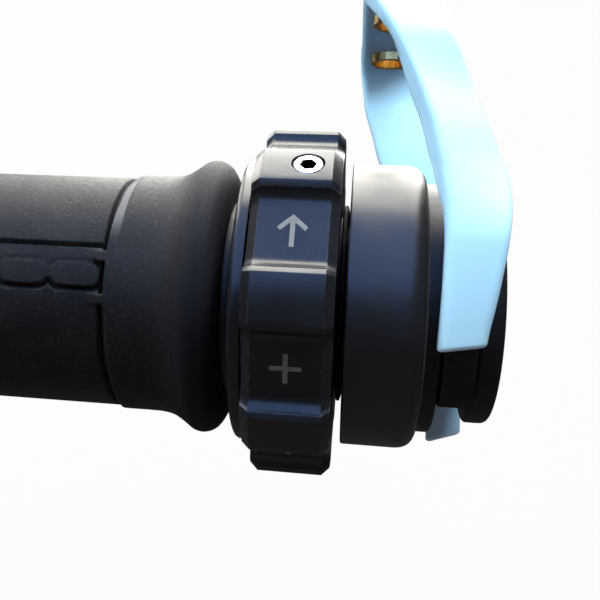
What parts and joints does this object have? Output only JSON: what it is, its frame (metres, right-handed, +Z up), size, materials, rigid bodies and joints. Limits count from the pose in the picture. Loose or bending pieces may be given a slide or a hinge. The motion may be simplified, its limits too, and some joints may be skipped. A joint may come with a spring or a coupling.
{
  "type": "throttle grip",
  "caption": "Right-hand motorcycle throttle grip with a twist-lock friction knob, bar-end weight, end cap and the end of a hand guard.",
  "frame": {"origin": "on the handlebar's axis, in the plane of the handlebar's cut end", "axes": "+X outboard along the handlebar, +Y forward, +Z up"},
  "size_m": [0.1699, 0.0664, 0.0635],
  "materials": {
    "grip_rubber": "fine leather grain",
    "tube_nylon": "moulded nylon",
    "pad_nylon": "natural nylon",
    "black_anodised": "satin black anodised",
    "weight_black": "matt black",
    "zinc_steel": "zinc plated",
    "insert_brass": "turned",
    "seal_rubber": "matt",
    "guard_blue": "gloss moulded"
  },
  "bodies": {
    "bar_end": {"spindle": "black_anodised", "expander_bung": "seal_rubber", "bung_washer": "zinc_steel", "expander_nut": "zinc_steel", "centre_bolt": "zinc_steel", "dust_o_ring": "seal_rubber", "bar_end_weight": "weight_black", "collar_dowel": "zinc_steel", "guard_collar": "black_anodised", "guard_bush": "seal_rubber", "guard_fork": "guard_blue", "guard_insert_lower": "insert_brass", "guard_insert_upper": "insert_brass", "end_cap": "black_anodised"},
    "throttle_sleeve": {"throttle_tube": "tube_nylon", "rubber_grip": "grip_rubber"},
    "ring_carrier": {"friction_ring": "black_anodised", "friction_pad": "pad_nylon", "ring_clip": "zinc_steel"},
    "knob": {"friction_knob": "black_anodised"},
    "plug": {"nylon_plug": "pad_nylon"},
    "set_screw": {"knob_set_screw": "zinc_steel"}
  },
  "joints": [
    {"name": "throttle_twist", "type": "hinge", "parent": "bar_end", "child": "throttle_sleeve", "pos_m": [0, 0, 0], "axis": [1, 0, 0], "range_deg": [0, 75]},
    {"name": "ring_slide", "type": "slide", "parent": "bar_end", "child": "ring_carrier", "axis": [1, 0, 0], "range_m": [-0.0003125, 0]},
    {"name": "knob_turn", "type": "hinge", "parent": "ring_carrier", "child": "knob", "pos_m": [0.0033, 0, 0], "axis": [1, 0, 0], "range_deg": [-90, 0]},
    {"name": "plug_slide", "type": "slide", "parent": "knob", "child": "plug", "axis": [0, 0.2588, 0.9659], "range_m": [-0.0007, 0]},
    {"name": "set_screw_turn", "type": "hinge", "parent": "plug", "child": "set_screw", "pos_m": [0.0101, 0.00608, 0.0227], "axis": [0, 0.2588, 0.9659], "range_deg": [-360, 0]}
  ],
  "couplings": [
    {"joint": "knob_turn", "follows": "ring_slide", "rad_per_m": 5026.5},
    {"joint": "set_screw_turn", "follows": "plug_slide", "rad_per_m": 8976}
  ]
}
